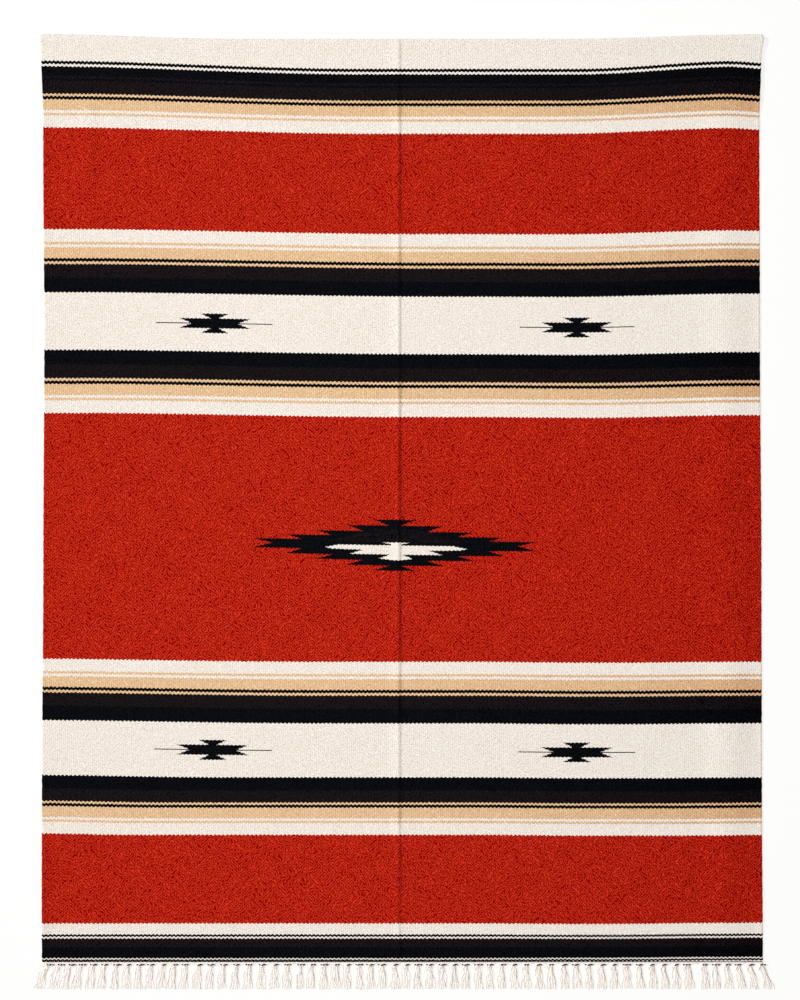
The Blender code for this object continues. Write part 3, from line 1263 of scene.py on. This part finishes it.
@dataclass
class WarpFringe:
    """The heading past the last weft, and the warp ends that are knotted in bundles there."""

    width: float = 1.524
    warp_pitch: float = 0.00435
    seam: float = 0.0003
    heading: float = 0.004
    fringe_length: float = 0.0555
    root_spread: float = 0.0066
    tip_spread: float = 0.0094
    seed: int = 7
    yarns: int = 7
    yarn_radius: float = 0.00125
    yarn_sides: int = 6
    yarn_heights: tuple[float, ...] = (0.0012, 0.0019, 0.0025, 0.0030, 0.0033, 0.0028, 0.0011)
    hook_out: float = 0.0066
    hooks_out_until: float = 9.0
    cord_overhang: float = 0.0026
    cord_points: int = 720
    cord_wave: float = 0.0005
    cord_middle: float = 0.0017
    marks: tuple[BundleMark, ...] = rows_of(
        BundleMark,
        (0, -0.7545), (3, -0.6845), (6, -0.6092), (12, -0.4615), (21, -0.2184), (31, 0.0301),
        (41, 0.2857), (50, 0.5262), (53, 0.6020), (54, 0.6370), (59, 0.7580),
    )
    leans: tuple[Lean, ...] = rows_of(
        Lean,
        (-1.00, -0.0160), (-0.93, -0.0090), (-0.85, -0.0042), (-0.50, -0.0030), (-0.30, 0.0000),
        (0.00, 0.0020), (0.50, 0.0045), (0.86, 0.0065), (0.93, 0.0105), (1.00, 0.0215),
    )

    def bundle_places(self) -> list[float]:
        """Where the knots lie across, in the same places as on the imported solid."""
        places = [self.marks[0].x]
        for mark, after in zip(self.marks, self.marks[1:]):
            places += stretches(mark.x, after.x, after.number - mark.number)
        return places

    def hooks(self, rng: Random) -> list[tuple[float, float, float]]:
        """Where the dark thread shows beside each bundle, from left to right.

        Args:
            rng: where the bundles' differences come from.

        Returns:
            Each bundle's place, and the thread's start and end.
        """
        hooks = []
        for number, x in enumerate(self.bundle_places()):
            out = self.hook_out * max(0.0, 1 - number / self.hooks_out_until)
            start = x + out + rng.uniform(-0.0010, 0.0016)
            hooks.append((x, start, start + rng.uniform(0.0080, 0.0125)))
        return hooks

    def make_heading(self, material: Material) -> Piece:
        """The last rows of white weft, beaten into one plump cord that waves over the warps."""
        return self.make_cord("fringe_heading", -0.0034, 0.0019, pi, material)

    def make_last_pick(self, material: Material) -> Piece:
        """The last black pick, which lies past the cloth's edge and against the heading."""
        return self.make_cord("fringe_last_pick", -0.0004, 0.0010, 0.0, material)

    def make_cord(
        self, name: str, middle: float, radius: float, phase: float, material: Material
    ) -> Piece:
        """A pick or a few of them, from selvedge to selvedge.

        Args:
            name: the object's name.
            middle: where it lies along the plan.
            radius: half its width.
            phase: where its wave over the warps starts, in radians.
            material: its finish.

        Returns:
            The cord.
        """
        tubes = TubeSet(sides=8, cells_across=3)
        half = self.width / 2 + self.cord_overhang
        x = np.linspace(-half, half, self.cord_points)
        swell = np.cos(2 * x * pi / self.warp_pitch)
        y = middle + self.cord_wave * np.cos(x * pi / self.warp_pitch + phase)
        path = np.stack((x, y, self.cord_middle + 0.0002 * swell), axis=1)
        radii = radius * (1 + 0.06 * swell)
        radii[0] = radii[-1] = radius * 0.4
        tubes.add(path, radii, 0.62)
        return tubes.grid.make(name, material)

    def make_dark_thread(self, material: Material) -> Piece:
        """The dark marking thread, as far as it shows between the warps of each bundle.

        Args:
            material: its finish.

        Returns:
            The thread.
        """
        # The thread's dark colour is partly its own and partly painted shade for the slit under the
        # hooked warps
        rng = Random(self.seed + 1)
        tubes = TubeSet(sides=6, cells_across=16)
        for _, start, end in self.hooks(Random(self.seed)):
            dashes = [(start, end, 0.0020)]
            if rng.random() < 0.45:
                middle = start + (end - start) * rng.uniform(0.42, 0.62)
                dashes = [(start, middle - 0.0010, 0.0014), (middle + 0.0010, end, 0.0008)]
            if rng.random() < 0.5:
                left = start - rng.uniform(0.0048, 0.0062)
                dashes.append((left, left + rng.uniform(0.0018, 0.0030), 0.0))
            for left, right, sag in dashes:
                reach = right - left
                points = [
                    (left, -0.0064 - sag, 0.0040),
                    (left + reach * 0.3, -0.0063 - sag * 0.35, 0.0044),
                    (left + reach * 0.65, -0.0062, 0.0044),
                    (right, -0.0063 - sag * 0.1, 0.0038),
                ]
                radii = [0.0009, 0.0015, 0.0016, 0.0016, 0.0015, 0.0013, 0.0011, 0.0006]
                tubes.add(curve_through(points, len(radii)), radii)
        return tubes.grid.make("fringe_dark_thread", material)

    def make_bundles(self, material: Material) -> Piece:
        """Every bundle: its loose yarns, and the warps that hook across its root.

        Args:
            material: their finish.

        Returns:
            The bundles, as one piece.
        """
        rng = Random(self.seed + 2)
        tubes = TubeSet(sides=self.yarn_sides, cells_across=24)
        half = self.width / 2
        for x, start, end in self.hooks(Random(self.seed)):
            lean = float(read_rows(self.leans, "across", "shift", x / half))
            self.add_hook(tubes, start, end, x - start)
            self.add_yarns(tubes, x, lean + rng.uniform(-0.0018, 0.0018), rng)
        return tubes.grid.make("fringe_bundles", material)

    def add_hook(self, tubes: TubeSet, start: float, end: float, back: float) -> None:
        """The warp that comes from past the dark thread's end, and crosses under it to the root.

        Args:
            tubes: where it is added.
            start: where the dark thread starts.
            end: where it ends.
            back: how far the root's middle lies past the start.
        """
        points = [
            (end + 0.0016, -0.0048, 0.0022),
            (end - 0.0004, -0.0078, 0.0030),
            (start + (end - start) * 0.5, -0.0088, 0.0036),
            (start + 0.0004, -0.0100, 0.0042),
            (start - 0.0022 + back * 0.3, -0.0130, 0.0038),
            (start - 0.0030 + back * 0.6, -0.0190, 0.0024),
        ]
        tubes.add(curve_through(points, 16), [0.0007] + [0.0011] * 14 + [0.0006], 0.75)

    def add_yarns(self, tubes: TubeSet, x: float, lean: float, rng: Random) -> None:
        """The loose yarns of one bundle, fanned out from its root over the floor.

        Args:
            tubes: where they are added.
            x: the middle of the root.
            lean: how far to the right of it the tips lie.
            rng: where the bundle's own differences come from.
        """
        share = np.linspace(0, 1, 22)
        places = [2 * i / (self.yarns - 1) - 1 for i in range(self.yarns)]
        tips = list(places)
        for _ in range(2):
            swap = rng.randrange(self.yarns - 2)
            tips[swap], tips[swap + 1] = tips[swap + 1], tips[swap]
        waist = rng.uniform(0.10, 0.30)
        for root, tip, lie in zip(places, tips, self.yarn_heights):
            spread = root * self.root_spread * (1 - share) + tip * self.tip_spread * share
            spread = spread * (1 - waist * np.sin(pi * np.sqrt(share)) ** 2)
            tip_y = -self.seam - self.heading - self.fringe_length + rng.uniform(0.0, 0.0034)
            stray = rng.uniform(-0.0013, 0.0013) * share
            bow = rng.uniform(-0.0012, 0.0012) + 0.12 * lean
            sway = rng.uniform(0.0006, 0.0016)
            phase = rng.uniform(0, 2 * pi)
            px = x + spread + stray + lean * share + bow * np.sin(pi * share)
            px = px + sway * np.sin(phase + share * 9.5) * smooth_step(share * 3)
            py = -self.heading + (tip_y + self.heading) * share
            held = 1 - 0.75 * smooth_step((share - 0.5) / 0.5)
            pz = 0.0011 + (lie - 0.0011) * held + 0.0002 * np.sin(phase + share * 9) * share
            radii = self.yarn_radius * (1 + 0.10 * np.sin(phase * 2 + share * 11))
            radii[-2:] *= (0.85, 0.5)
            tubes.add(np.stack((px, py, pz), axis=1), radii, 0.72)


@dataclass
class Studio:
    """The floor, the soft lights and the camera straight above the blanket."""

    view_height: float = 2.1226
    middle_x: float = -0.0091
    middle_y: float = 0.0256
    camera_height: float = 5.2
    sensor: float = 36.0
    sky: float = 0.25
    sky_colour: Colour = (1.0, 0.93, 0.86)
    side_light: float = 2.60
    side_colour: Colour = (0.965, 0.99, 1.03)
    side_elevation: float = 34.0
    side_bearing: float = 12.0
    side_width: float = 9.0
    floor_size: float = 40.0
    floor_drop: float = 0.0004
    top_light: float = 58.0
    top_light_size: tuple[float, float] = (0.3, 5.0)
    top_light_place: Point = (-0.42, 0.6, 2.80)

    def make_floor(self) -> Piece:
        """Lays a plain pale floor under the blanket.

        Returns:
            The floor.
        """
        size = self.floor_size
        corners = [(-size, -size), (size, -size), (size, size), (-size, size)]
        grid = Grid(corners=[(x, y, -self.floor_drop) for x, y in corners], faces=[(0, 1, 2, 3)])
        floor = grid.make("studio_floor", PaleFloor().make(), origin=(0.0, 0.0))
        return floor

    def make_lights(self) -> None:
        """A soft side light from the left, a lamp over the left half, and an even sky."""
        world = bpy.data.worlds.new("studio")
        world.use_nodes = True
        background = world.node_tree.nodes["Background"]
        background.inputs["Color"].default_value = (*self.sky_colour, 1.0)
        background.inputs["Strength"].default_value = self.sky
        bpy.context.scene.world = world

        sun = bpy.data.lights.new("side_light", "SUN")
        sun.color = self.side_colour
        sun.energy = self.side_light
        sun.angle = radians(self.side_width)
        side = add_object("side_light", sun)
        flat = cos(radians(self.side_elevation))
        bearing = radians(self.side_bearing)
        came_from = Vector(
            (-flat * cos(bearing), flat * sin(bearing), sin(radians(self.side_elevation)))
        )
        side.rotation_euler = came_from.to_track_quat("Z", "Y").to_euler()

        lamp = bpy.data.lights.new("top_light", "AREA")
        lamp.energy = self.top_light
        lamp.shape = "RECTANGLE"
        lamp.size, lamp.size_y = self.top_light_size
        top = add_object("top_light", lamp)
        top.location = self.top_light_place
        top.visible_camera = False

    def make_camera(self) -> None:
        """A long lens straight above the middle of the picture."""
        lens = bpy.data.cameras.new("camera")
        lens.sensor_fit = "VERTICAL"
        lens.sensor_height = self.sensor
        lens.lens = self.sensor * self.camera_height / self.view_height
        lens.clip_end = 200.0
        camera = add_object("camera", lens)
        camera.location = (self.middle_x, self.middle_y, self.camera_height)
        bpy.context.scene.camera = camera
        bpy.context.scene.view_settings.view_transform = "Standard"


def main() -> None:
    """Builds the studio, the cloth and the fringe, hangs each piece under the root body, and hides
    the imported solids.
    """
    logging.basicConfig(level=logging.INFO, format="%(name)s: %(message)s")
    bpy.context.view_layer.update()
    studio = Studio()
    studio.make_camera()
    studio.make_floor()
    studio.make_lights()

    cloth = BlanketCloth()
    web = cloth.make(StripedWool().make())
    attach(web, "root")
    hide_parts("blanket_cloth")
    LOG.info("cloth: %d faces", len(web.data.polygons))

    fringe = WarpFringe()
    warp = UndyedWarp().make()
    # The dark thread's colour is partly its own and partly painted shade for the slit under the
    # hooked warps
    dark = UndyedWarp("dark thread", as_lit(60, 35, 24), as_lit(24, 13, 9)).make()
    black = UndyedWarp("black pick", as_lit(6, 7, 10), as_lit(0, 0, 1)).make()
    parts = (
        fringe.make_heading(warp),
        fringe.make_last_pick(black),
        fringe.make_bundles(warp),
        fringe.make_dark_thread(dark),
    )
    for part in parts:
        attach(part, "root")
        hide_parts("warp_fringe")
        LOG.info("%s: %d faces", part.name, len(part.data.polygons))


if __name__ == "__main__":
    main()
